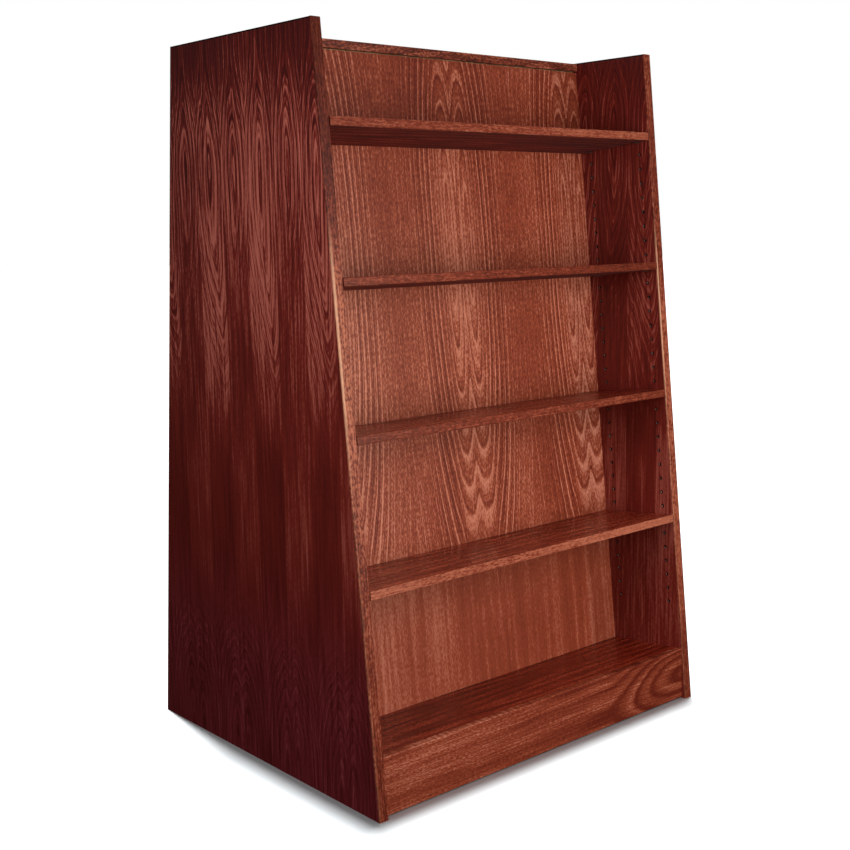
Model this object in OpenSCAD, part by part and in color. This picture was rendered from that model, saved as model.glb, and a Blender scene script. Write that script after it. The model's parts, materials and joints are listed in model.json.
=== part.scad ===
// Double-faced, slant-faced display shelving.
// Two tapered end panels carry four adjustable shelves and a bottom shelf on each face.
// Every shelf lies square to its sloping back panel, so it leans down towards the back.
// X runs along the width, the front face looks towards -Y, and Z is up.
// The origin is on the floor, under the middle of the case.

/* [Case] */
// Overall width over both end panels
case_w = 935; // [700:1:1300]
// Overall height of the end panels
case_h = 1461; // [1300:1:1700]
// Depth of an end panel at the floor
base_d = 775; // [700:1:900]
// Depth of an end panel at its top
top_d = 485; // [460:1:520]
// Thickness of an end panel
end_t = 22; // [20:0.5:30]

/* [Shelves] */
// Thickness of every shelf and of the cap
shelf_t = 17; // [15:0.5:20]
// Clear depth of a shelf bay, measured square to the slope
bay_d = 202; // [190:1:205]
// Number of adjustable shelves on each face
shelf_count = 4; // [1:1:4]
// Top of the lowest adjustable shelf, measured up the slope
lowest_shelf = 432; // [400:1:440]
// Support holes from one adjustable shelf to the next
holes_per_step = 9; // [7:1:9]
// Gap between a shelf's end and the end panel
shelf_end_gap = 2; // [1.8:0.1:3]
// Gap between a shelf and the back panel
shelf_back_gap = 1; // [0.5:0.5:3]

/* [Support holes] */
// Pitch of the support holes, measured up the slope
hole_pitch = 32; // [30:1:32]
// Diameter of a support hole
hole_dia = 5; // [5:0.5:7]
// Depth of a support hole
hole_depth = 12; // [9:1:14]
// Distance of the outer hole column from the front edge
outer_column = 30; // [25:1:60]
// Distance of the inner hole column from the front edge
inner_column = 174; // [150:1:180]
// Support holes below the lowest adjustable shelf
holes_below = 6; // [2:1:7]
// Height of a hole's centre above the underside of the shelf that it carries
hole_rise = 4; // [3:0.5:6]

/* [Base] */
// Top of the bottom shelf at its front edge, measured up the slope
bottom_shelf_top = 119; // [100:1:150]
// Thickness of a kick board
kick_t = 17; // [15:0.5:20]
// Gap between the floor and a kick board
kick_gap = 2; // [1:0.5:6]

/* [Backs and cap] */
// Thickness of a back panel
back_t = 12; // [9:0.5:12]
// Depth of the groove that holds a back panel's edge
groove_depth = 6; // [4:0.5:8]
// Height of a back panel's foot, measured up the slope
back_foot = 40; // [30:1:60]
// Drop of the cap below the top of the end panels
cap_drop = 2; // [0:0.5:5]
// Overhang of the cap beyond a back panel's face
cap_overhang = 3; // [1:0.5:8]
// Shadow gap between a back panel and the cap
cap_gap = 3; // [1:0.5:5]

/* [Edge bands] */
// Thickness of a solid edge band
band_t = 3; // [2:0.5:4]
// Radius of an eased edge
edge_r = 1.5; // [0.5:0.1:1.9]

/* [Inner frame] */
// Height of the rail below the cap
rail_h = 50; // [40:1:70]
// Thickness of the middle and bottom webs
web_t = 18; // [15:1:22]
// Height of the underside of the middle web above the floor
middle_web_z = 711; // [500:1:900]
// Height of the underside of the bottom web above the floor
bottom_web_z = 60; // [56:1:90]

/* [Hidden] */

$fn = 48;
// Overlap that carries a cutting shape clear through a face
cut = 1;
// Lean of each face from the vertical
lean = atan((base_d - top_d) / 2 / case_h);
inner_w = case_w - 2 * end_t;
inner_x = inner_w / 2;
slope_len = case_h / cos(lean);
shelf_step = holes_per_step * hole_pitch;
shelf_w = inner_w - 2 * shelf_end_gap;
cap_top = case_h - cap_drop;
cap_bottom = cap_top - shelf_t;

// Colours of the finish, from the darkest board to the palest
end_colour = "#4a1a1a";
shelf_colour = "#6e2a20";
band_colour = "#8a4a30";
face_colour = "#8c4434";
inner_colour = "#c9a878";
bracket_colour = "#2a211c";
steel_colour = "#b0b0ac";

// Support bracket: a pin, a plate flat on the end panel and a ledge under the shelf
pin_dia = hole_dia - 0.1;
pin_len = 9;
plate_t = 1.2;
plate_w = 12;
plate_rise = 12;
ledge_t = 1.5;
ledge_len = 16;
// Gap between a ledge and the shelf over it
ledge_gap = 0.3;

// Dowels, with half a millimetre of glue space at each end
dowel_dia = 7.9;
dowel_hole_dia = 8;
dowel_in_panel = 12;
dowel_in_board = 18;
glue_space = 0.5;

// Blocks glued behind the kick boards
block_w = 30;
block_d = 30;
block_foot = 25;
block_xs = [for (side = [-1, 1], x = [inner_w / 6, inner_x - block_w / 2]) side * x];

// Screws that draw the cap down onto the top rail
screw_dia = 4;
screw_hole_dia = 4.5;
screw_head_dia = 8;
screw_head_h = 3;
screw_bite = 12;
screw_recess = 6;
screw_xs = [for (x = [-3, -1, 1, 3]) x * inner_w / 8];

// A point given by its depth behind the sloping face and its height up the slope, as [y, z]
function face_point(depth, up) = [
    -base_d / 2 + depth * cos(lean) + up * sin(lean),
    up * cos(lean) - depth * sin(lean)
];
// Height at y of the plane that lies square to the front face at a given height up the slope
function level_at(y, up) = (up - (y + base_d / 2) * sin(lean)) / cos(lean);
// Half of the hollow between the two back panels at height z
function hollow_half(z) = base_d / 2 - z * tan(lean) - (bay_d + back_t) / cos(lean);
function both_faces(points) = concat(points, [for (p = points) [-p[0], p[1]]]);
// Top of an adjustable shelf; shelf 1 is the highest
function shelf_top(n) = lowest_shelf + (shelf_count - n) * shelf_step;

// The front top edge of a kick board lies on the front slope
kick_front = face_point(0, bottom_shelf_top);
kick_back_y = kick_front[0] + kick_t;
cap_half = hollow_half(cap_bottom) + back_t / cos(lean) + cap_overhang;
back_top = (cap_bottom - cap_gap + bay_d * sin(lean)) / cos(lean);

// Centres of the dowels, as [y, z]
web_dowel_points = [
    for (z = [bottom_web_z, middle_web_z], side = [-1, 1])
        [side * hollow_half(z) / 2, z + web_t / 2]
];
rail_dowel_points = [for (z = [0.3, 0.7]) [0, cap_bottom - z * rail_h]];
shelf_dowel_points = both_faces([
    for (depth = [55, 110, 165]) face_point(depth, bottom_shelf_top - shelf_t / 2)
]);
kick_dowel_points = both_faces([for (z = [30, 80]) [kick_back_y - kick_t / 2, z]]);
cap_dowel_points = [for (side = [-1, 1]) [side * cap_half / 2, cap_bottom + shelf_t / 2]];
panel_dowel_points = concat(
    web_dowel_points, rail_dowel_points, shelf_dowel_points, kick_dowel_points, cap_dowel_points
);

// Places what is drawn as [x, depth behind the face, height up the slope] on one face
module on_face(rear = false) {
    mirror([0, rear ? 1 : 0, 0])
        translate([0, -base_d / 2, 0])
            rotate([-lean, 0, 0])
                children();
}

// Places what is drawn at the right-hand end at the left-hand end instead
module at_end(left) {
    mirror([left ? 1 : 0, 0, 0]) children();
}

// Extrudes a [y, z] outline along X, from x0 for a length
module along_x(x0, length) {
    translate([x0, 0, 0]) rotate([90, 0, 90]) linear_extrude(length) children();
}

// Section of an edge band with two eased edges on its outer side, which lies on y = 0
module band_section(width) {
    translate([edge_r, 0]) square([width - 2 * edge_r, band_t]);
    translate([0, edge_r]) square([width, band_t - edge_r]);
    for (x = [edge_r, width - edge_r]) translate([x, edge_r]) circle(edge_r);
}

// Outline of an end panel between its sloping bands, up to height top
module core_outline(top) {
    half = base_d / 2 - band_t / cos(lean);
    polygon([[-half, 0], [half, 0], [half - top * tan(lean), top], [top * tan(lean) - half, top]]);
}

// Cylinders along X that cross the inner face of an end panel at each point
module dowels(points, dia, in_board, in_panel) {
    for (p = points, left = [false, true])
        at_end(left)
            translate([inner_x - in_board, p[0], p[1]])
                rotate([0, 90, 0])
                    cylinder(d = dia, h = in_board + in_panel);
}

module dowel_holes(points) {
    dowels(points, dowel_hole_dia, dowel_in_board + glue_space, dowel_in_panel + glue_space);
}

module support_holes() {
    for (rear = [false, true], depth = [outer_column, inner_column])
        on_face(rear)
            for (n = [-holes_below : (shelf_count - 1) * holes_per_step])
                translate([inner_x - cut, depth, lowest_shelf - shelf_t + hole_rise + n * hole_pitch])
                    rotate([0, 90, 0])
                        cylinder(d = hole_dia, h = hole_depth + cut, $fn = 24);
}

module back_panel_grooves() {
    for (rear = [false, true])
        on_face(rear)
            translate([inner_x - cut, bay_d, back_foot])
                cube([groove_depth + cut, back_t, back_top - back_foot]);
}

module end_panel(left) {
    color(end_colour)
        at_end(left)
            difference() {
                along_x(inner_x, end_t) core_outline(case_h - band_t);
                support_holes();
                back_panel_grooves();
                dowel_holes(panel_dowel_points);
            }
}

module sloping_edge_band(left, rear) {
    color(band_colour)
        at_end(left)
            intersection() {
                on_face(rear)
                    translate([inner_x, 0, -base_d / 2])
                        linear_extrude(slope_len + base_d)
                            band_section(end_t);
                translate([inner_x, -base_d, 0]) cube([end_t, 2 * base_d, case_h]);
            }
}

module top_edge_band(left) {
    color(band_colour)
        at_end(left)
            intersection() {
                translate([inner_x, -base_d / 2, case_h])
                    rotate([-90, 0, 0])
                        linear_extrude(base_d)
                            band_section(end_t);
                along_x(inner_x, end_t) core_outline(case_h);
            }
}

module back_panel(rear) {
    color(face_colour)
        on_face(rear)
            translate([-inner_x - groove_depth, bay_d, back_foot])
                cube([inner_w + 2 * groove_depth, back_t, back_top - back_foot]);
}

// The cap's front and rear edges are eased above and below
module top_cap() {
    color(band_colour)
        difference() {
            along_x(-inner_x, inner_w) {
                translate([edge_r - cap_half, cap_bottom]) square([2 * (cap_half - edge_r), shelf_t]);
                translate([-cap_half, cap_bottom + edge_r]) square([2 * cap_half, shelf_t - 2 * edge_r]);
                for (y = [edge_r - cap_half, cap_half - edge_r], z = [cap_bottom, cap_top - 2 * edge_r])
                    translate([y, z + edge_r]) circle(edge_r);
            }
            dowel_holes(cap_dowel_points);
            for (x = screw_xs)
                translate([x, 0, cap_bottom - cut]) cylinder(d = screw_dia, h = screw_bite + cut);
        }
}

// A board across the hollow, with its long edges bevelled to the back panels
module web(z, height) {
    along_x(-inner_x, inner_w)
        polygon([
            [-hollow_half(z), z], [hollow_half(z), z],
            [hollow_half(z + height), z + height], [-hollow_half(z + height), z + height]
        ]);
}

module top_rail() {
    color(inner_colour)
        difference() {
            web(cap_bottom - rail_h, rail_h);
            dowel_holes(rail_dowel_points);
            for (x = screw_xs)
                translate([x, 0, cap_bottom - rail_h - cut]) {
                    cylinder(d = screw_hole_dia, h = rail_h + 2 * cut);
                    cylinder(d = screw_head_dia + 1, h = screw_recess + cut);
                }
        }
}

module horizontal_web(z) {
    color(inner_colour)
        difference() {
            web(z, web_t);
            dowel_holes(web_dowel_points);
        }
}

// The front edge is cut plumb to meet the kick board
module bottom_shelf(rear) {
    under = bottom_shelf_top - shelf_t;
    color(shelf_colour)
        mirror([0, rear ? 1 : 0, 0])
            difference() {
                along_x(-inner_x, inner_w)
                    polygon([
                        [kick_back_y, level_at(kick_back_y, under)],
                        face_point(bay_d, under),
                        face_point(bay_d, bottom_shelf_top),
                        [kick_back_y, level_at(kick_back_y, bottom_shelf_top)]
                    ]);
                dowel_holes(shelf_dowel_points);
            }
}

// A plumb board whose top is bevelled flush with the bottom shelf and eased at the front
module kick_board(rear) {
    ease = [kick_front[0] + edge_r, level_at(kick_front[0] + edge_r, bottom_shelf_top) - edge_r];
    color(face_colour)
        mirror([0, rear ? 1 : 0, 0])
            difference() {
                along_x(-inner_x, inner_w) {
                    polygon([
                        [kick_front[0], kick_gap],
                        [kick_back_y, kick_gap],
                        [kick_back_y, level_at(kick_back_y, bottom_shelf_top)],
                        ease + [0, edge_r],
                        ease - [edge_r, 0]
                    ]);
                    translate(ease) circle(edge_r);
                }
                dowel_holes(kick_dowel_points);
            }
}

module kick_blocks(rear) {
    under = bottom_shelf_top - shelf_t;
    far_y = kick_back_y + block_d;
    color(inner_colour)
        mirror([0, rear ? 1 : 0, 0])
            for (x = block_xs)
                along_x(x - block_w / 2, block_w)
                    polygon([
                        [kick_back_y, block_foot], [far_y, block_foot],
                        [far_y, level_at(far_y, under)], [kick_back_y, level_at(kick_back_y, under)]
                    ]);
}

module shelf(n, rear) {
    color(shelf_colour)
        on_face(rear)
            translate([-shelf_w / 2, band_t, shelf_top(n) - shelf_t])
                cube([shelf_w, bay_d - shelf_back_gap - band_t, shelf_t]);
}

module shelf_edge_band(n, rear) {
    color(band_colour)
        on_face(rear)
            translate([-shelf_w / 2, 0, shelf_top(n)])
                rotate([0, 90, 0])
                    linear_extrude(shelf_w)
                        band_section(shelf_t);
}

// Four brackets, one in each hole column at each end
module shelf_supports(n, rear) {
    under = shelf_top(n) - shelf_t;
    foot = under - ledge_gap - ledge_t;
    color(bracket_colour)
        on_face(rear)
            for (left = [false, true], depth = [outer_column, inner_column])
                at_end(left) {
                    translate([inner_x - plate_t, depth - plate_w / 2, foot])
                        cube([plate_t, plate_w, plate_rise]);
                    translate([inner_x - ledge_len, depth - plate_w / 2, foot])
                        cube([ledge_len, plate_w, ledge_t]);
                    translate([inner_x - plate_t, depth, under + hole_rise])
                        rotate([0, 90, 0])
                            cylinder(d = pin_dia, h = plate_t + pin_len, $fn = 24);
                }
}

module dowel_set(points) {
    color(inner_colour) dowels(points, dowel_dia, dowel_in_board, dowel_in_panel);
}

module cap_screws() {
    head_z = cap_bottom - rail_h + screw_recess;
    color(steel_colour)
        for (x = screw_xs)
            translate([x, 0, head_z]) {
                translate([0, 0, -screw_head_h]) cylinder(d = screw_head_dia, h = screw_head_h);
                cylinder(d = screw_dia, h = cap_bottom + screw_bite - head_z);
            }
}

end_panel(left = true);  // left_end_panel
sloping_edge_band(left = true, rear = false);  // left_front_edge_band
sloping_edge_band(left = true, rear = true);  // left_rear_edge_band
top_edge_band(left = true);  // left_top_edge_band
end_panel(left = false);  // right_end_panel
sloping_edge_band(left = false, rear = false);  // right_front_edge_band
sloping_edge_band(left = false, rear = true);  // right_rear_edge_band
top_edge_band(left = false);  // right_top_edge_band
back_panel(rear = false);  // front_back_panel
back_panel(rear = true);  // rear_back_panel
top_cap();
top_rail();
horizontal_web(middle_web_z);  // middle_web
horizontal_web(bottom_web_z);  // bottom_web
bottom_shelf(rear = false);  // front_bottom_shelf
bottom_shelf(rear = true);  // rear_bottom_shelf
kick_board(rear = false);  // front_kick_board
kick_board(rear = true);  // rear_kick_board
kick_blocks(rear = false);  // front_kick_blocks
kick_blocks(rear = true);  // rear_kick_blocks
shelf(1, rear = false);  // front_shelf_1
shelf_edge_band(1, rear = false);  // front_shelf_1_edge_band
shelf_supports(1, rear = false);  // front_shelf_1_supports
shelf(2, rear = false);  // front_shelf_2
shelf_edge_band(2, rear = false);  // front_shelf_2_edge_band
shelf_supports(2, rear = false);  // front_shelf_2_supports
shelf(3, rear = false);  // front_shelf_3
shelf_edge_band(3, rear = false);  // front_shelf_3_edge_band
shelf_supports(3, rear = false);  // front_shelf_3_supports
shelf(4, rear = false);  // front_shelf_4
shelf_edge_band(4, rear = false);  // front_shelf_4_edge_band
shelf_supports(4, rear = false);  // front_shelf_4_supports
shelf(1, rear = true);  // rear_shelf_1
shelf_edge_band(1, rear = true);  // rear_shelf_1_edge_band
shelf_supports(1, rear = true);  // rear_shelf_1_supports
shelf(2, rear = true);  // rear_shelf_2
shelf_edge_band(2, rear = true);  // rear_shelf_2_edge_band
shelf_supports(2, rear = true);  // rear_shelf_2_supports
shelf(3, rear = true);  // rear_shelf_3
shelf_edge_band(3, rear = true);  // rear_shelf_3_edge_band
shelf_supports(3, rear = true);  // rear_shelf_3_supports
shelf(4, rear = true);  // rear_shelf_4
shelf_edge_band(4, rear = true);  // rear_shelf_4_edge_band
shelf_supports(4, rear = true);  // rear_shelf_4_supports
dowel_set(concat(web_dowel_points, rail_dowel_points));  // rail_and_web_dowels
dowel_set(shelf_dowel_points);  // bottom_shelf_dowels
dowel_set(kick_dowel_points);  // kick_board_dowels
dowel_set(cap_dowel_points);  // cap_dowels
cap_screws();
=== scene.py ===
import json
import math

import bpy
from mathutils import Matrix, Vector


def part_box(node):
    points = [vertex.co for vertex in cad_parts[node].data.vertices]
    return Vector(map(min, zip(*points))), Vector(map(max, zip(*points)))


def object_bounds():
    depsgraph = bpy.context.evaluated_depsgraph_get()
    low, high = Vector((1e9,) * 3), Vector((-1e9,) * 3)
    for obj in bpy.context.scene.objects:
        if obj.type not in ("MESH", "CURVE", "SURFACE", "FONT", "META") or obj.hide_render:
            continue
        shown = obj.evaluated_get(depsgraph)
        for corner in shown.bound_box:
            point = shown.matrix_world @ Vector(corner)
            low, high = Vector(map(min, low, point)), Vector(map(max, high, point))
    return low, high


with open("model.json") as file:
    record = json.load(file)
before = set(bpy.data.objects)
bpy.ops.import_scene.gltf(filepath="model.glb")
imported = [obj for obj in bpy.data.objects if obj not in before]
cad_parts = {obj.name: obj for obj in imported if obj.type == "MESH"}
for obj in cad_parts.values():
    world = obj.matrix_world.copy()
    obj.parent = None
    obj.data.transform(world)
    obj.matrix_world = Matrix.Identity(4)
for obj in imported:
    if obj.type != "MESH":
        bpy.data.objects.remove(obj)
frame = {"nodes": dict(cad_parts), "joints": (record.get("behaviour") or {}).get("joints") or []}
cad_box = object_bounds()

# The lean of each sloping face, from the direction in which its shelves draw out
LEAN = math.asin(frame["joints"][0]["axis"][2])
LOW, HIGH = cad_box
FRONT, REAR = 1, -1


def srgb(red, green, blue):
    """Linear colour of a screen colour given in 0 to 255."""
    def channel(value):
        value = value / 255
        return value / 12.92 if value <= 0.04045 else ((value + 0.055) / 1.055) ** 2.4
    return (channel(red), channel(green), channel(blue), 1)


class Graph:
    """A material's shader nodes. Each method adds nodes and gives back their output."""

    def __init__(self, name):
        self.material = bpy.data.materials.new(name)
        self.material.use_nodes = True
        self.nodes = self.material.node_tree.nodes
        self.links = self.material.node_tree.links
        self.nodes.clear()

    def node(self, kind, **settings):
        """Adds a node and gives back the node itself."""
        node = self.nodes.new(kind)
        for key, value in settings.items():
            setattr(node, key, value)
        return node

    def feed(self, socket, value):
        """Links a node's output to a socket, or sets the socket to a plain value."""
        if isinstance(value, bpy.types.NodeSocket):
            self.links.new(value, socket)
        else:
            socket.default_value = value

    def place(self):
        return self.node("ShaderNodeTexCoord").outputs["Object"]

    def math(self, operation, *values):
        node = self.node("ShaderNodeMath", operation=operation)
        for socket, value in zip(node.inputs, values):
            self.feed(socket, value)
        return node.outputs[0]

    def add(self, a, b):
        return self.math("ADD", a, b)

    def subtract(self, a, b):
        return self.math("SUBTRACT", a, b)

    def times(self, a, b):
        return self.math("MULTIPLY", a, b)

    def sway(self, value, amount):
        """A value of 0 to 1, read evenly as minus half the amount to half of it."""
        return self.times(self.subtract(value, 0.5), amount)

    def along(self, place, direction):
        """How far a place lies along a direction."""
        node = self.node("ShaderNodeVectorMath", operation="DOT_PRODUCT")
        self.feed(node.inputs[0], place)
        self.feed(node.inputs[1], direction)
        return node.outputs["Value"]

    def scaled(self, vector, factor):
        """A vector times a number."""
        node = self.node("ShaderNodeVectorMath", operation="SCALE")
        self.feed(node.inputs[0], vector)
        self.feed(node.inputs["Scale"], factor)
        return node.outputs[0]

    def vector(self, x, y, z):
        node = self.node("ShaderNodeCombineXYZ")
        for socket, value in zip(node.inputs, (x, y, z)):
            self.feed(socket, value)
        return node.outputs[0]

    def noise(self, vector, detail=2.0):
        """Noise of about 0 to 1 at one cell per unit."""
        node = self.node("ShaderNodeTexNoise")
        self.feed(node.inputs["Vector"], vector)
        node.inputs["Scale"].default_value = 1
        node.inputs["Detail"].default_value = detail
        node.inputs["Roughness"].default_value = 0.5
        return node.outputs["Fac"]

    def grade(self, value, low, high, start=0.0, end=1.0):
        """A value from low to high, read as start to end and held there.

        Low may be the greater of the two."""
        node = self.node("ShaderNodeMapRange", interpolation_type="SMOOTHSTEP")
        for name, setting in (
            ("Value", value),
            ("From Min", low),
            ("From Max", high),
            ("To Min", start),
            ("To Max", end),
        ):
            self.feed(node.inputs[name], setting)
        return node.outputs["Result"]

    def between(self, value, rise, fall):
        """1 where a value lies between two grades and 0 beyond, each from its 0 to its 1."""
        return self.times(self.grade(value, *rise), self.grade(value, *fall))

    def curve(self, value, stops):
        """A grey level that follows stops of (position, level)."""
        return self.ramp(value, [(at, (level, level, level, 1)) for at, level in stops])

    def ramp(self, value, stops):
        """A colour that follows stops of (position, colour)."""
        node = self.node("ShaderNodeValToRGB")
        elements = node.color_ramp.elements
        while len(elements) < len(stops):
            elements.new(0.5)
        for element, (at, colour) in zip(elements, stops):
            element.position = at
            element.color = colour
        self.feed(node.inputs["Fac"], value)
        return node.outputs["Color"]

    def mix(self, amount, a, b):
        node = self.node("ShaderNodeMix", data_type="RGBA")
        self.feed(node.inputs["Factor"], amount)
        self.feed(node.inputs["A"], a)
        self.feed(node.inputs["B"], b)
        return node.outputs["Result"]

    def bump(self, height, distance, strength):
        node = self.node("ShaderNodeBump")
        self.feed(node.inputs["Height"], height)
        node.inputs["Distance"].default_value = distance
        node.inputs["Strength"].default_value = strength
        return node.outputs["Normal"]

    def shade(self, **sockets):
        """Ends the graph with a principled surface and gives back the material."""
        shader = self.node("ShaderNodeBsdfPrincipled")
        output = self.node("ShaderNodeOutputMaterial")
        for name, value in sockets.items():
            self.feed(shader.inputs[name.replace("_", " ")], value)
        self.links.new(shader.outputs[0], output.inputs["Surface"])
        return self.material


# ---- Wood ----

# Finish colours, each from its dark pores and rings to its pale latewood; the foot tones are
# painted shade
PANEL_TONES = (srgb(70, 10, 8), srgb(118, 34, 25), srgb(190, 102, 86))
SHADED_FOOT_TONES = (srgb(68, 12, 22), srgb(126, 46, 70))
BACK_TONES = (srgb(98, 30, 16), srgb(146, 66, 42), srgb(204, 130, 104))
SHELF_TONES = (srgb(70, 12, 7), srgb(138, 42, 23), srgb(190, 90, 60))
BAND_TONES = (srgb(66, 20, 11), srgb(124, 53, 35), srgb(184, 109, 82))
TOP_BAND_TONES = (srgb(20, 6, 6), srgb(60, 20, 16), srgb(112, 50, 34))
RAW_TONES = (srgb(150, 116, 76), srgb(196, 164, 118), srgb(222, 196, 154))
# Painted shade on the walls of the support holes
HOLE_SHADE_TONES = (srgb(8, 4, 4), srgb(20, 11, 10))
# A painted glint on the rims of the support holes, partly the pale bare wood
HOLE_RIM_GLINT = srgb(190, 168, 160)
# A painted highlight along one arris of each upright
ARRIS_HIGHLIGHT_COLOUR = srgb(236, 178, 140)
# The dark halo round each support hole
HOLE_HALO = srgb(34, 8, 6)
MID_GREY = (0.45, 0.45, 0.45, 1)

# Growth rings: how the tone runs across a ring and across each of the finer lines within it, by
# (share, level). Uneven shifts the rings, change is how soon their strength changes from one to
# the next, and faintest is the least of it.
SHARP_GROWTH = {
    "ring": [(0, 0.25), (0.1, 0.0), (0.5, 0.35), (0.78, 0.5), (0.86, 1.0), (0.93, 0.9), (1, 0.25)],
    "line": [(0, 0.4), (0.2, 0.1), (0.6, 0.45), (0.8, 0.85), (1, 0.4)],
    "lines": 3,
    "uneven": 1.1,
    "change": 1.7,
    "faintest": 0.25,
}
FLAME_GROWTH = {
    "ring": [(0, 0.75), (0.15, 0.5), (0.28, 0.05), (0.42, 0.0), (0.6, 0.75), (0.8, 1.0), (1, 0.75)],
    "line": [(0, 0.4), (0.2, 0.05), (0.6, 0.5), (0.8, 0.95), (1, 0.4)],
    "lines": 2.6,
    "uneven": 0.6,
    "change": 1.3,
    "faintest": 0.45,
}


def station(g, place, side):
    """How far up its slope a place lies, from the slope's foot on the floor."""
    along = g.along(place, (0, side * math.sin(LEAN), math.cos(LEAN)))
    return g.subtract(along, LOW.y * math.sin(LEAN))


def leaf_place(g, across, width, middle):
    """The place across a veneer leaf from its middle, and the leaf's number.

    Middle is where the middle of leaf 0 lies."""
    from_middle = g.subtract(across, middle)
    number = g.math("ROUND", g.math("DIVIDE", from_middle, width))
    return g.subtract(from_middle, g.times(number, width)), number


def cut_depth(g, along, nearest, centre, below, above):
    """How far a cut lies from the pith: nearest at the centre, and further off both ways.

    Below and above are each the distance over which it moves away and how far it goes."""
    fall = g.grade(along, centre, centre - below[0], nearest, nearest + below[1])
    rise = g.grade(along, centre, centre + above[0], 0, above[1])
    return g.add(fall, rise)


def ring_phase(g, v, along, seed, ring, point, cut, wander, lobes=0.0, steep=0.0):
    """Growth rings of a flat-sliced leaf, counted from its middle outwards.

    Ring is the width of one. A cut that swells away from the pith closes the rings into figures
    along the leaf, and a low point makes those figures sharp. Wander is how far they stray. Lobes
    parts them into twin figures that far off the leaf's middle, and steep draws these out."""
    blunt = 0.00002
    shallowest = 0.001
    width = g.math("SQRT", g.add(g.times(v, v), blunt))
    lobe = g.math("ABSOLUTE", g.subtract(width, lobes))
    if steep:
        lobe = g.add(lobe, g.times(g.math("MINIMUM", lobe, lobes * 1.1), steep))
    broad = g.noise(g.vector(g.times(v, 8), g.times(along, 0.9), seed), 1)
    fine = g.noise(g.vector(g.times(v, 50), g.times(along, 6), seed), 2)
    cut = g.math("MAXIMUM", g.add(cut, g.sway(broad, wander)), shallowest)
    both = g.add(g.math("POWER", lobe, point), g.math("POWER", cut, point))
    radius = g.math("POWER", both, 1 / point)
    radius = g.add(radius, g.sway(fine, wander * 0.25))
    return g.math("DIVIDE", radius, ring)


def growth_tone(g, phase, growth, fine=0.0):
    """The light and dark of growth rings, of about 0 to 1.

    Fine is the share of the finer lines that lie within each ring."""
    uneven = g.noise(g.vector(g.times(phase, 0.8), 0, 0), 1)
    at = g.math("FRACT", g.add(phase, g.times(uneven, growth["uneven"])))
    broad = g.curve(at, growth["ring"])
    change = g.noise(g.vector(g.times(phase, growth["change"]), 5, 0), 0)
    strength = g.grade(change, 0.25, 0.7, growth["faintest"], 1)
    bold = g.mix(strength, MID_GREY, broad)
    if not fine:
        return bold
    within = g.math("FRACT", g.add(g.times(phase, growth["lines"]), g.times(uneven, 2)))
    return g.mix(fine, bold, g.curve(within, growth["line"]))


def streaks(g, across, along, through, width, length):
    """Fine pore streaks of about that width and length, in metres."""
    return g.noise(
        g.vector(g.times(across, 1 / width), g.times(along, 1 / length), g.times(through, 40)), 1
    )


def veneer_tone(
    g, across, along, through, rings, weight, pores=0.95, width=0.006, length=0.07, streaky=0.65,
    fleck_width=0.0019,
):
    """The light and dark of a veneer face, of about 0 to 1.

    Weight is that of the rings, pores that of the fine flecks, and streaky that of the broad
    streaks, which have the width and length given."""
    fleck_length = 0.008
    broad = streaks(g, across, along, through, width, length)
    fleck = streaks(g, across, along, through, fleck_width, fleck_length)
    cloud = g.noise(g.vector(g.times(across, 6), g.times(along, 1.5), g.times(through, 3)), 2)
    tone = g.times(g.subtract(rings, 0.45), weight)
    tone = g.add(tone, g.sway(broad, streaky))
    tone = g.add(tone, g.times(g.grade(fleck, 0.35, 0.65, 0.18, -0.22), pores))
    tone = g.add(tone, g.sway(cloud, 0.5))
    return g.add(tone, 0.5)


def lacquer(g, colour, grain, gloss=0.36, coat=0.1, specular=0.3, dull=0.0):
    """Satin lacquer over stained wood, with the pores just showing in its surface.

    Gloss is the roughness at middling grain, and dull, which is added to it, may differ from
    place to place."""
    roughness = g.add(g.grade(grain, 0.2, 0.8, gloss + 0.08, gloss - 0.04), dull)
    return g.shade(
        Base_Color=colour,
        Roughness=roughness,
        Specular_IOR_Level=specular,
        Coat_Weight=coat,
        Coat_Roughness=0.18,
        Normal=g.bump(grain, distance=0.0004, strength=0.35),
    )


def tones(g, tone, colours, low=0.05, high=1.0):
    """The colours of a finish spread evenly over tone from low to high."""
    stops = [(number / (len(colours) - 1), colour) for number, colour in enumerate(colours)]
    return g.ramp(g.grade(tone, low, high), stops)


# ---- End panels ----

PANEL_LEAF = 0.09
PANEL_LEAF_MIDDLE = 0.022
PANEL_RING = 0.012
PANEL_VENEER = 0.0006
# How deep the painted glint on the rim of a hole goes
RIM_DEPTH = 0.0018

# Support holes, by their stations up the slope and their depths behind its face
FIRST_HOLE = 0.227
LAST_HOLE = 1.283
HOLE_PITCH = 0.032
HOLE_COLUMNS = (0.030, 0.174)
# The dark halo round a hole is full this far from the hole's middle, and ends this far
HALO_FULL = 0.0034
HALO_END = 0.0052


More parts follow.
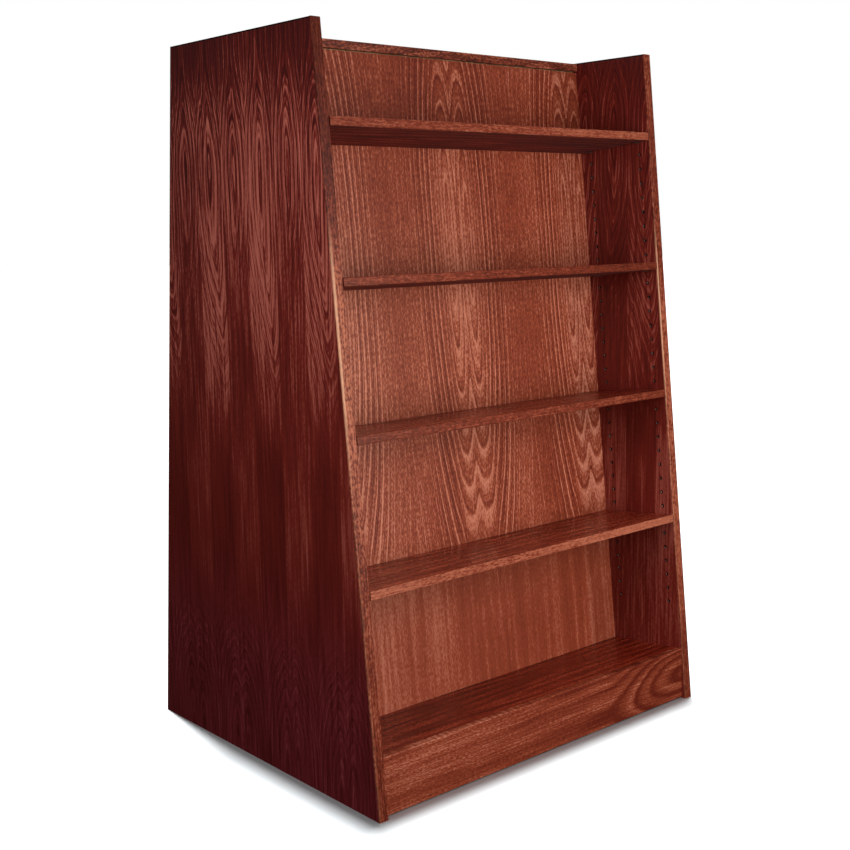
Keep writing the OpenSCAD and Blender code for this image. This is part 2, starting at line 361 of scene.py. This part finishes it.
def hole_surround(g, place):
    """1 close round each support hole, where the face is darker, and 0 elsewhere."""
    inwards = g.subtract(HIGH.y, g.math("ABSOLUTE", g.along(place, (0, 1, 0))))
    both = g.vector(0, inwards, g.along(place, (0, 0, 1)))
    depth = g.along(both, (0, math.cos(LEAN), -math.sin(LEAN)))
    up = g.along(both, (0, math.sin(LEAN), math.cos(LEAN)))
    beyond = g.add(g.math("DIVIDE", g.subtract(up, FIRST_HOLE), HOLE_PITCH), 0.5)
    off = g.sway(g.math("FRACT", beyond), HOLE_PITCH)
    asides = [g.math("ABSOLUTE", g.subtract(depth, column)) for column in HOLE_COLUMNS]
    aside = g.math("MINIMUM", *asides)
    distance = g.math("SQRT", g.add(g.times(off, off), g.times(aside, aside)))
    within = g.times(
        g.math("GREATER_THAN", up, FIRST_HOLE - HOLE_PITCH / 2),
        g.math("LESS_THAN", up, LAST_HOLE + HOLE_PITCH / 2),
    )
    return g.times(g.grade(distance, HALO_END, HALO_FULL), within)


def panel_figure(g, across, up, out, outside):
    """The rings of the end panels, and 1 on every second leaf and 0 on the others."""
    v, leaf = leaf_place(g, across, PANEL_LEAF, PANEL_LEAF_MIDDLE)
    second = g.math("PINGPONG", leaf, 1)
    hand = g.subtract(g.times(second, 2), 1)
    # The figures lean towards one edge of the leaf lower down
    v = g.add(g.times(v, hand), g.grade(up, 1.15, 0.8, 0, 0.028))
    centre = g.add(1.3, g.times(outside, -0.1))
    cut = cut_depth(g, g.subtract(up, centre), 0.004, 0, below=(0.75, 0.1), above=(0.24, 0.04))
    # Another figure rises from the foot of each leaf
    cut = g.math("MINIMUM", cut, g.grade(up, 0.0, 0.7, 0.006, 0.2))
    seed = g.add(g.times(leaf, 0.25), g.times(out, 90))
    phase = ring_phase(g, v, up, seed, PANEL_RING, point=1.25, cut=cut, wander=0.05)
    phase = g.add(phase, g.times(leaf, 0.37))
    return growth_tone(g, phase, FLAME_GROWTH, fine=0.5), second


def panel_strength(g, up, outside, second):
    """How boldly the rings of the end panels show."""
    inside = g.subtract(1, outside)
    # Every second leaf keeps its figure further down, and so do the inner faces
    lower = g.add(1.06, g.times(second, -0.24))
    lower = g.subtract(lower, g.times(inside, 0.12))
    strength = g.grade(up, g.subtract(lower, 0.14), g.add(lower, 0.12), 0.12, 0.75)
    strength = g.times(strength, g.grade(up, 1.46, 1.3, 0.7, 1.0))
    strength = g.times(strength, g.grade(up, 1.05, 1.2, 1.0, 1.4))
    # The figures that rise from the foot show on the outer faces
    return g.add(strength, g.times(g.grade(up, 0.32, 0.22, 0, 0.5), outside))


def panel_painted_light(g, up, outside, second):
    """Painted light and shade on the end panels: what their tone gains or loses from place to
    place.
    """
    inside = g.subtract(1, outside)
    # Painted sheen: every second leaf shines at mid-height, and the others are the paler ones lower
    # down
    shine = g.times(g.between(up, (0.6, 0.85), (1.2, 1.0)), 0.14)
    low = g.times(g.between(up, (0.3, 0.42), (0.8, 0.6)), 0.15)
    shade = g.sway(second, g.subtract(shine, low))
    # Painted shade: all faces darken to the top and below mid-height, the inner ones less so low
    # down
    top = g.times(g.grade(up, 1.24, 1.5, 0, -0.45), g.add(g.times(outside, 0.6), 0.4))
    shade = g.add(shade, top)
    shade = g.add(shade, g.grade(up, 1.0, 0.65, 0.04, -0.08))
    return g.add(shade, g.times(g.grade(up, 0.4, 1.0, 0.1, -0.14), inside))


def end_panel_veneer():
    """Narrow book-matched leaves, which run up both faces of the end panels."""
    g = Graph("end_panel_veneer")
    place = g.place()
    across = g.along(place, (0, 1, 0))
    up = g.along(place, (0, 0, 1))
    out = g.math("ABSOLUTE", g.along(place, (1, 0, 0)))
    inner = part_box("right_end_panel")[0].x
    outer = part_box("right_end_panel")[1].x
    outside = g.grade(out, inner, outer)
    rings, second = panel_figure(g, across, up, out, outside)
    weight = panel_strength(g, up, outside, second)
    tone = veneer_tone(
        g, across, up, out, rings, weight, pores=0.3, width=0.005, length=0.14, streaky=0.9
    )
    # The grain is fainter lower down, and on the inner faces
    clear = g.grade(g.times(up, outside), 0.45, 1.05, 0.45, 1.0)
    clear = g.math("MAXIMUM", clear, g.grade(outside, 1, 0, 0, 0.65))
    tone = g.add(g.sway(tone, clear), 0.5)
    shaded = g.add(tone, panel_painted_light(g, up, outside, second))
    colour = tones(g, shaded, PANEL_TONES, low=0.0)
    # Painted shade: towards the floor the outer faces turn a dim purple
    shaded_foot = g.times(g.grade(up, 0.5, 0.15, 0, 0.35), outside)
    colour = g.mix(shaded_foot, colour, g.mix(g.grade(tone, 0.36, 0.64), *SHADED_FOOT_TONES))
    on_inner_face = g.math("LESS_THAN", out, inner + PANEL_VENEER)
    # A dark halo round each support hole on the inner faces
    haloed = g.times(g.times(hole_surround(g, place), on_inner_face), 0.85)
    colour = g.mix(haloed, colour, HOLE_HALO)
    # Painted shade makes the walls of the holes near-black, all but their rims, which are partly
    # the pale bare wood and partly a painted glint
    core = g.times(
        g.math("GREATER_THAN", out, inner + PANEL_VENEER),
        g.math("LESS_THAN", out, outer - PANEL_VENEER),
    )
    rim_glint = g.math("LESS_THAN", out, inner + RIM_DEPTH)
    bored = g.mix(rim_glint, g.mix(tone, *HOLE_SHADE_TONES), HOLE_RIM_GLINT)
    return lacquer(g, g.mix(core, colour, bored), tone)


# ---- Back panels ----

BACK_LEAF = 0.367
BACK_LEAF_MIDDLE = 0.033
BACK_RING = 0.013
# The figure fades out between these stations, just below the lowest adjustable shelf
FIGURE_FOOT = (0.38, 0.47)
# Painted light: the back panels are palest round this station
PAINTED_LIGHT_STATION = 1.02


def back_panel_veneer(side):
    """Wide leaves with a twin cathedral figure, which run up the slope."""
    g = Graph("front_back_veneer" if side == FRONT else "rear_back_veneer")
    place = g.place()
    across = g.along(place, (side, 0, 0))
    up = station(g, place, side)
    v, leaf = leaf_place(g, across, BACK_LEAF, BACK_LEAF_MIDDLE)
    aside = g.math("ABSOLUTE", v)
    cut = cut_depth(g, up, 0.01, 1.08, below=(0.9, 0.115), above=(0.9, 0.13))
    phase = ring_phase(
        g, v, up, g.times(leaf, 0.05), BACK_RING, point=2.15, cut=cut, wander=0.015, lobes=0.027,
        steep=0.8,
    )
    flame = g.grade(aside, 0.07, 0.05, 0, 0.4)
    sharp = growth_tone(g, phase, SHARP_GROWTH, fine=0.35)
    rings = g.mix(flame, sharp, growth_tone(g, phase, FLAME_GROWTH))
    figured = g.grade(up, *FIGURE_FOOT, 0.1, 1)
    weight = g.times(g.grade(aside, 0.09, 0.14, 1.15, 0.35), figured)
    weight = g.times(weight, g.grade(aside, 0.05, 0.07, 0.85, 1))
    pores = g.grade(up, *FIGURE_FOOT, 0.3, 0.62)
    streaky = g.grade(up, *FIGURE_FOOT, 0.2, 0.38)
    tone = veneer_tone(
        g, across, up, leaf, rings, weight, pores, width=0.0055, length=0.035, streaky=streaky,
        fleck_width=0.003,
    )
    # Below the lowest adjustable shelf there are only soft stripes
    stripe = g.noise(g.vector(g.times(across, 75), g.times(up, 1.5), g.times(leaf, 2)), 1)
    tone = g.add(tone, g.sway(stripe, g.grade(up, *FIGURE_FOOT, 0.38, 0)))
    # The panel is paler along the middles of its figures
    tone = g.add(tone, g.times(g.grade(aside, 0.055, 0.02, 0, 0.08), figured))
    # Painted shade darkens it above the top shelf's station
    tone = g.add(tone, g.grade(up, 1.28, 1.32, 0.02, -0.06))
    # Painted light makes it palest at mid-height
    from_middle = g.math("ABSOLUTE", g.subtract(up, PAINTED_LIGHT_STATION))
    tone = g.add(tone, g.grade(from_middle, 0.14, 0.04, 0, 0.06))
    return lacquer(g, tones(g, tone, BACK_TONES), tone)


# ---- Shelves ----

SHELF_LEAF = 0.16
SHELF_LEAF_MIDDLE = 0.01
SHELF_RING = 0.022
# The station of the lowest adjustable shelf, and how far each is from the next
LOWEST_SHELF = 0.432
SHELF_STEP = 0.288
# The bottom shelf lies below these stations and the adjustable ones above them
SHELF_GAP = (0.2, 0.4)


def shelf_veneer(side):
    """Quiet straight grain along the shelf, different on every shelf."""
    g = Graph("front_shelf_veneer" if side == FRONT else "rear_shelf_veneer")
    place = g.place()
    depth = g.along(place, (0, side * math.cos(LEAN), -math.sin(LEAN)))
    up = station(g, place, side)
    x = g.along(place, (side, 0, 0))
    shifted = g.add(depth, g.times(up, 0.11))
    v = leaf_place(g, shifted, SHELF_LEAF, SHELF_LEAF_MIDDLE)[0]
    cut = cut_depth(g, x, 0.02, 0.2, below=(0.9, 0.04), above=(0.9, 0.04))
    phase = ring_phase(g, v, x, g.times(up, 7), SHELF_RING, point=1.4, cut=cut, wander=0.03)
    bottom = g.grade(up, *SHELF_GAP, 1, 0)
    # The undersides of the adjustable shelves are left matt. A shelf's middle is at level 0.5
    level = g.math("DIVIDE", g.subtract(up, LOWEST_SHELF), SHELF_STEP)
    level = g.math("FRACT", g.add(level, 0.5))
    matt_and_shaded = g.math("LESS_THAN", level, 0.48)
    matt_and_shaded = g.times(matt_and_shaded, g.math("GREATER_THAN", up, SHELF_GAP[0]))
    pores = g.subtract(0.9, g.add(g.times(matt_and_shaded, 0.5), g.times(bottom, 0.3)))
    streaky = g.subtract(1.0, g.times(g.add(matt_and_shaded, bottom), 0.4))
    rings = growth_tone(g, phase, FLAME_GROWTH)
    tone = veneer_tone(
        g, depth, x, up, rings, 0.3, pores, width=0.007, length=0.12, streaky=streaky,
        fleck_width=0.003,
    )
    # Painted shade: the undersides of the adjustable shelves and the bottom shelf are darker
    tone = g.subtract(tone, g.add(g.times(matt_and_shaded, 0.18), g.times(bottom, 0.12)))
    colour = tones(g, tone, SHELF_TONES)
    return lacquer(g, colour, tone, gloss=0.26, coat=0.0, dull=g.times(matt_and_shaded, 0.6))


# ---- Edge bands ----

BAND_RING = 0.006
# Where the painted highlight on the left uprights' outer arris and the right uprights' inner one
# begins, and where it is brightest, inwards from the outer faces of the end panels
HIGHLIGHT_OUTER = (0.006, 0.002)
HIGHLIGHT_INNER = (0.0185, 0.0205)
# How far below their tops the top bands turn from dark to pale
TOP_ARRIS = (0.0012, 0.0004)


def flecks(g, place):
    """How strong the dark flecks are: less so at the top and foot of the uprights."""
    z = g.along(place, (0, 0, 1))
    return g.times(g.grade(z, 0.3, 0.5, 0.5, 1), g.grade(z, 1.3, 1.1, 0.45, 1))


def band_veneer(
    name, across_axis, along_axis, through_axis, colours=BAND_TONES, shade=None, arris_highlight=None,
    flecky=1.0,
):
    """Solid wood edging, with its grain along the edge and short dark flecks.

    Shade, where given, adds to the tone from place to place, which on the uprights is painted light
    and shade. The arris highlight, where given, says where an arris gets a painted highlight, and
    flecky is the weight of the flecks."""
    g = Graph(name)
    place = g.place()
    across = g.along(place, across_axis)
    along = g.along(place, along_axis)
    through = g.along(place, through_axis)
    wave = g.noise(g.vector(g.times(along, 8), g.times(across, 4), g.times(through, 3)), 2)
    bent = g.add(across, g.sway(wave, 0.02))
    at = g.math("FRACT", g.math("DIVIDE", bent, BAND_RING))
    rings = g.curve(at, [(0, 0.0), (0.5, 0.5), (0.85, 0.9), (1, 0.1)])
    tone = veneer_tone(
        g, across, along, through, rings, 0.2 * flecky, pores=0.5, streaky=0.4 * flecky
    )
    fleck = g.noise(g.vector(g.times(across, 220), g.times(along, 130), g.times(through, 90)), 1)
    dash = g.grade(fleck, 0.4, 0.66, 0.09 * flecky, -0.17 * flecky)
    tone = g.add(tone, g.times(dash, flecks(g, place)))
    if shade:
        tone = g.add(tone, shade(g, place))
    colour = tones(g, tone, colours)
    # A painted highlight along one arris
    if arris_highlight:
        colour = g.mix(arris_highlight(g, place), colour, ARRIS_HIGHLIGHT_COLOUR)
    return lacquer(g, colour, tone, gloss=0.3, coat=0.03, specular=0.15)


def upright_painted_light(g, place):
    """Painted light and shade: the uprights are paler in their middles, and the left ones darker
    near their tops.
    """
    x = g.along(place, (1, 0, 0))
    z = g.along(place, (0, 0, 1))
    top = g.times(g.math("LESS_THAN", x, 0), g.grade(z, 1.0, 1.25, 0, -0.2))
    middle = g.between(z, (0.45, 0.65), (1.15, 0.95))
    middle = g.times(middle, g.grade(x, -0.4, 0.4, 0.18, 0.05))
    return g.add(g.add(top, middle), g.grade(x, -0.4, 0.4, -0.03, 0.06))


def top_shade(g, place):
    """The top bands are darker down their sides and paler along their tops."""
    z = g.along(place, (0, 0, 1))
    return g.grade(z, HIGH.z - TOP_ARRIS[0], HIGH.z - TOP_ARRIS[1], -0.28, 0.12)


def painted_arris_highlight(g, place):
    """Where the uprights get a painted highlight: one arris of each, at mid-height."""
    x = g.along(place, (1, 0, 0))
    z = g.along(place, (0, 0, 1))
    left = g.grade(x, LOW.x + HIGHLIGHT_OUTER[0], LOW.x + HIGHLIGHT_OUTER[1])
    right = g.grade(x, HIGH.x - HIGHLIGHT_INNER[0], HIGH.x - HIGHLIGHT_INNER[1])
    right = g.times(right, g.math("GREATER_THAN", x, 0))
    either = g.times(g.math("MAXIMUM", left, right), g.grade(z, 1.12, 0.98, 0, 0.6))
    return g.times(either, g.grade(z, 0.6, 0.85, 0.1, 1))


def shelf_band_shade(g, place):
    """The lowest adjustable shelf has a paler edge band than the two above it."""
    z = g.along(place, (0, 0, 1))
    lowest = g.grade(z, 0.6, 0.5, 0, 0.22)
    middle = g.times(g.between(z, (0.5, 0.6), (1.2, 1.1)), -0.07)
    top = g.grade(z, 1.1, 1.2, 0, 0.1)
    return g.add(g.add(lowest, top), middle)


# ---- Cap, kick boards and what lies inside ----

CAP_LEAF = 0.19
CAP_LEAF_MIDDLE = 0.05
CAP_RING = 0.01
KICK_RING = 0.0135
KICK_FIGURE_HEIGHT = 0.077
RAW_RING = 0.007


def cap_veneer():
    """Straight grain along the cap."""
    g = Graph("cap_veneer")
    place = g.place()
    across = g.along(place, (0, 1, 0.6))
    x = g.along(place, (1, 0, 0))
    z = g.along(place, (0, 0, 1))
    v, leaf = leaf_place(g, across, CAP_LEAF, CAP_LEAF_MIDDLE)
    cut = cut_depth(g, x, 0.02, 0.1, below=(0.8, 0.04), above=(0.8, 0.04))
    phase = ring_phase(g, v, x, g.times(leaf, 3), CAP_RING, point=1.4, cut=cut, wander=0.02)
    rings = growth_tone(g, phase, SHARP_GROWTH, fine=0.35)
    tone = veneer_tone(g, across, x, z, rings, 0.4)
    return lacquer(g, tones(g, tone, BAND_TONES), tone)


def kick_veneer(side):
    """A bold figure that opens towards one end of the kick board."""
    g = Graph("front_kick_veneer" if side == FRONT else "rear_kick_veneer")
    place = g.place()
    x = g.along(place, (side, 0, 0))
    up = g.along(place, (0, 0, 1))
    v = g.subtract(up, KICK_FIGURE_HEIGHT)
    cut = g.grade(x, 0.18, 0.46, 0.08, 0.028)
    phase = ring_phase(g, v, x, 2.3, KICK_RING, point=3, cut=cut, wander=0.012)
    # The cut runs askew, which draws the rings out into long lines away from the figure
    phase = g.add(phase, g.times(v, 0.35 / KICK_RING))
    weight = g.grade(x, -0.1, 0.25, 0.15, 0.48)
    rings = growth_tone(g, phase, FLAME_GROWTH)
    tone = veneer_tone(g, up, x, 0.3, rings, weight, pores=0.6, width=0.0035, length=0.12)
    tone = g.add(tone, g.grade(x, -0.4, 0.1, 0.05, -0.16))
    tone = g.add(tone, g.grade(x, 0.1, 0.4, 0, -0.06))
    return lacquer(g, tones(g, tone, BACK_TONES), tone)


def raw_wood(name, across_axis, along_axis):
    """Plain unfinished softwood, which only shows inside the case."""
    g = Graph(name)
    place = g.place()
    across = g.along(place, across_axis)
    along = g.along(place, along_axis)
    wave = g.noise(g.vector(g.times(along, 3), g.times(across, 5), 0), 2)
    bent = g.add(across, g.times(wave, 0.02))
    at = g.math("FRACT", g.math("DIVIDE", bent, RAW_RING))
    fleck = streaks(g, across, along, across, width=0.0012, length=0.02)
    tone = g.add(g.times(at, 0.4), g.times(fleck, 0.8))
    colour = tones(g, tone, RAW_TONES, low=0.2)
    return g.shade(Base_Color=colour, Roughness=0.8, Normal=g.bump(tone, 0.0005, 0.5))


# ---- Metal ----

def bracket_metal():
    """Dark painted metal of the shelf supports, with a fine orange-peel texture."""
    g = Graph("bracket_metal")
    speckle = g.noise(g.scaled(g.place(), 900), 3)
    colour = g.ramp(speckle, [(0.3, srgb(30, 24, 22)), (0.7, srgb(52, 42, 38))])
    return g.shade(Base_Color=colour, Roughness=0.42, Normal=g.bump(speckle, 0.0002, 0.4))


def screw_steel():
    """Plated steel of the cap screws."""
    g = Graph("screw_steel")
    brushed = g.noise(g.scaled(g.place(), 1500), 2)
    colour = g.ramp(brushed, [(0.3, srgb(150, 150, 146)), (0.7, srgb(196, 196, 190))])
    return g.shade(
        Base_Color=colour,
        Metallic=1.0,
        Roughness=g.grade(brushed, 0.3, 0.7, 0.28, 0.45),
        Normal=g.bump(brushed, 0.0001, 0.3),
    )


# ---- Pieces ----

def finish_with(material, *names):
    """Gives CAD nodes a material in place of the one they were packed with."""
    for name in names:
        slots = frame["nodes"][name].material_slots
        for slot in slots:
            slot.link = "OBJECT"
            slot.material = material


def dress_case():
    """Gives the end panels, the cap, the top bands and the inner pieces their finishes."""
    finish_with(end_panel_veneer(), "left_end_panel", "right_end_panel")
    finish_with(cap_veneer(), "top_cap")
    plain = raw_wood("frame_wood", (0, 1, 1), (1, 0, 0))
    finish_with(plain, "top_rail", "middle_web", "bottom_web")
    finish_with(plain, "front_kick_blocks", "rear_kick_blocks")
    pegs = raw_wood("dowel_wood", (0, 1, 1), (1, 0, 0))
    finish_with(pegs, "rail_and_web_dowels", "bottom_shelf_dowels")
    finish_with(pegs, "kick_board_dowels", "cap_dowels")
    finish_with(screw_steel(), "cap_screws")
    top = band_veneer(
        "top_band_wood", (1, 0, 0), (0, 1, 0), (0, 0, 1), TOP_BAND_TONES, shade=top_shade
    )
    finish_with(top, "left_top_edge_band", "right_top_edge_band")


def dress_face(face, side, metal):
    """Gives one sloping face and its shelves their finishes."""
    slope = (0, side * math.sin(LEAN), math.cos(LEAN))
    square = (0, side * math.cos(LEAN), -math.sin(LEAN))
    finish_with(back_panel_veneer(side), f"{face}_back_panel")
    finish_with(kick_veneer(side), f"{face}_kick_board")
    upright = band_veneer(
        f"{face}_upright_band_wood", (1, 0, 0), slope, square, shade=upright_painted_light,
        arris_highlight=painted_arris_highlight,
    )
    finish_with(upright, f"left_{face}_edge_band", f"right_{face}_edge_band")
    boards = [name for name in frame["nodes"] if name.startswith(f"{face}_shelf_")]
    bands = [name for name in boards if name.endswith("_edge_band")]
    supports = [name for name in boards if name.endswith("_supports")]
    tops = [name for name in boards if name not in bands + supports]
    finish_with(shelf_veneer(side), f"{face}_bottom_shelf", *tops)
    edging = band_veneer(
        f"{face}_shelf_band_wood", slope, (1, 0, 0), square, shade=shelf_band_shade, flecky=0.5
    )
    finish_with(edging, *bands)
    finish_with(metal, *supports)


# ---- Studio ----

CAMERA_PLACE = (-1.849, -2.120, 1.097)
CAMERA_YAW = 41.03
CAMERA_DIP = 9.0
CAMERA_ROLL = -0.89
CAMERA_LENS = 53.93

FLOOR_REACH = 30
PAPER_TONES = (srgb(245, 250, 252), srgb(248, 253, 255))
WASH_POWER = 4.2
WASH_SPREAD = 2.6
WASH_DIRECTION = (-0.028, -0.121, -1)

# The sky's strength below the horizon and above it, and what is left of it in reflections
SKY_HORIZON = (-0.2, 0.1)
SKY_STRENGTH = (0.02, 0.23)
GLOSS_OF_ROOM = 0.3

# Each light's name, place, target, width, height, power and colour
WHITE = (1, 1, 1)
WARM = (1, 0.55, 0.3)
SOFTBOXES = (
    ("front_softbox", (0.0, -1.8, 0.95), (0, -0.2, 0.85), 0.9, 1.3, 25, WHITE),
    ("rear_softbox", (0.0, 1.8, 0.95), (0, 0.2, 0.85), 0.9, 1.3, 25, WHITE),
    ("left_softbox", (-1.8, -0.6, 1.2), (-0.45, -0.1, 1.1), 0.5, 0.4, 11, WHITE),
    ("right_softbox", (1.8, 0.6, 1.2), (0.45, 0.1, 1.1), 0.5, 0.4, 11, WHITE),
    ("top_softbox", (0.0, 0.0, 2.7), (0, 0, 1.4), 1.0, 0.6, 5, WHITE),
    ("side_softbox", (1.5, -2.87, 1.0), (0, -0.2, 0.9), 0.3, 0.5, 9, WARM),
)


def stand_camera():
    """A camera that looks at the unit's left front corner from a little above its middle."""
    data = bpy.data.cameras.new("camera")
    data.lens = CAMERA_LENS
    camera = bpy.data.objects.new("camera", data)
    turn = Matrix.Rotation(math.radians(-CAMERA_YAW), 4, "Z")
    dip = Matrix.Rotation(math.radians(90 - CAMERA_DIP), 4, "X")
    roll = Matrix.Rotation(math.radians(CAMERA_ROLL), 4, "Z")
    camera.matrix_world = Matrix.Translation(CAMERA_PLACE) @ turn @ dip @ roll
    bpy.context.scene.collection.objects.link(camera)
    bpy.context.scene.camera = camera


def floor_paper():
    """Faintly mottled white paper."""
    g = Graph("floor_paper")
    mottle = g.noise(g.scaled(g.place(), 3), 2)
    colour = g.ramp(mottle, [(0.3, PAPER_TONES[0]), (0.7, PAPER_TONES[1])])
    return g.shade(Base_Color=colour, Roughness=0.9, Specular_IOR_Level=0.0)


def lay_floor():
    """A plain pale floor, which throws no light back on the unit."""
    reach = FLOOR_REACH
    mesh = bpy.data.meshes.new("floor")
    corners = [(-reach, -reach, 0), (reach, -reach, 0), (reach, reach, 0), (-reach, reach, 0)]
    mesh.from_pydata(corners, [], [(0, 1, 2, 3)])
    mesh.materials.append(floor_paper())
    floor = bpy.data.objects.new("floor", mesh)
    bpy.context.scene.collection.objects.link(floor)
    floor.visible_glossy = False
    floor.visible_diffuse = False
    return floor


def wash_floor(floor):
    """A high light from behind, for the floor alone, which keeps the paper white."""
    data = bpy.data.lights.new("floor_wash", "SUN")
    data.energy = WASH_POWER
    data.angle = math.radians(WASH_SPREAD)
    light = bpy.data.objects.new("floor_wash", data)
    light.rotation_euler = Vector(WASH_DIRECTION).to_track_quat("-Z", "Y").to_euler()
    bpy.context.scene.collection.objects.link(light)
    lit = bpy.data.collections.new("lit_by_floor_wash")
    lit.objects.link(floor)
    light.light_linking.receiver_collection = lit


def light_sky():
    """White all round for the camera, and a soft sky for the light it gives."""
    world = bpy.data.worlds.new("studio")
    bpy.context.scene.world = world
    world.use_nodes = True
    nodes = world.node_tree.nodes
    links = world.node_tree.links
    nodes.clear()
    path = nodes.new("ShaderNodeLightPath")
    facing = nodes.new("ShaderNodeTexCoord")
    split = nodes.new("ShaderNodeSeparateXYZ")
    links.new(facing.outputs["Generated"], split.inputs[0])
    rise = nodes.new("ShaderNodeMapRange")
    rise.inputs["From Min"].default_value = SKY_HORIZON[0]
    rise.inputs["From Max"].default_value = SKY_HORIZON[1]
    rise.inputs["To Min"].default_value = SKY_STRENGTH[0]
    rise.inputs["To Max"].default_value = SKY_STRENGTH[1]
    links.new(split.outputs["Z"], rise.inputs["Value"])
    dim = nodes.new("ShaderNodeMapRange")
    dim.inputs["To Min"].default_value = 1.0
    dim.inputs["To Max"].default_value = GLOSS_OF_ROOM
    links.new(path.outputs["Is Glossy Ray"], dim.inputs["Value"])
    both = nodes.new("ShaderNodeMath")
    both.operation = "MULTIPLY"
    links.new(rise.outputs["Result"], both.inputs[0])
    links.new(dim.outputs["Result"], both.inputs[1])
    seen = nodes.new("ShaderNodeBackground")
    glow = nodes.new("ShaderNodeBackground")
    for background in (seen, glow):
        background.inputs["Color"].default_value = (1, 1, 1, 1)
    seen.inputs["Strength"].default_value = 1.0
    links.new(both.outputs[0], glow.inputs["Strength"])
    mix = nodes.new("ShaderNodeMixShader")
    output = nodes.new("ShaderNodeOutputWorld")
    links.new(path.outputs["Is Camera Ray"], mix.inputs["Fac"])
    links.new(glow.outputs[0], mix.inputs[1])
    links.new(seen.outputs[0], mix.inputs[2])
    links.new(mix.outputs[0], output.inputs["Surface"])


def hang_softbox(name, place, target, width, height, power, colour):
    """A softbox that faces a target."""
    data = bpy.data.lights.new(name, "AREA")
    data.shape = "RECTANGLE"
    data.size = width
    data.size_y = height
    data.energy = power
    data.color = colour
    light = bpy.data.objects.new(name, data)
    light.location = place
    aim = Vector(target) - Vector(place)
    light.rotation_euler = aim.to_track_quat("-Z", "Y").to_euler()
    bpy.context.scene.collection.objects.link(light)
    return light


def hang_softboxes(floor):
    """The softboxes light everything but the floor."""
    spared = bpy.data.collections.new("spared_by_softboxes")
    spared.objects.link(floor)
    spared.collection_objects[0].light_linking.link_state = "EXCLUDE"
    for softbox in SOFTBOXES:
        hang_softbox(*softbox).light_linking.receiver_collection = spared


metal = bracket_metal()
dress_case()
dress_face("front", FRONT, metal)
dress_face("rear", REAR, metal)

stand_camera()
paper = lay_floor()
wash_floor(paper)
light_sky()
hang_softboxes(paper)
bpy.context.scene.view_settings.view_transform = "Standard"
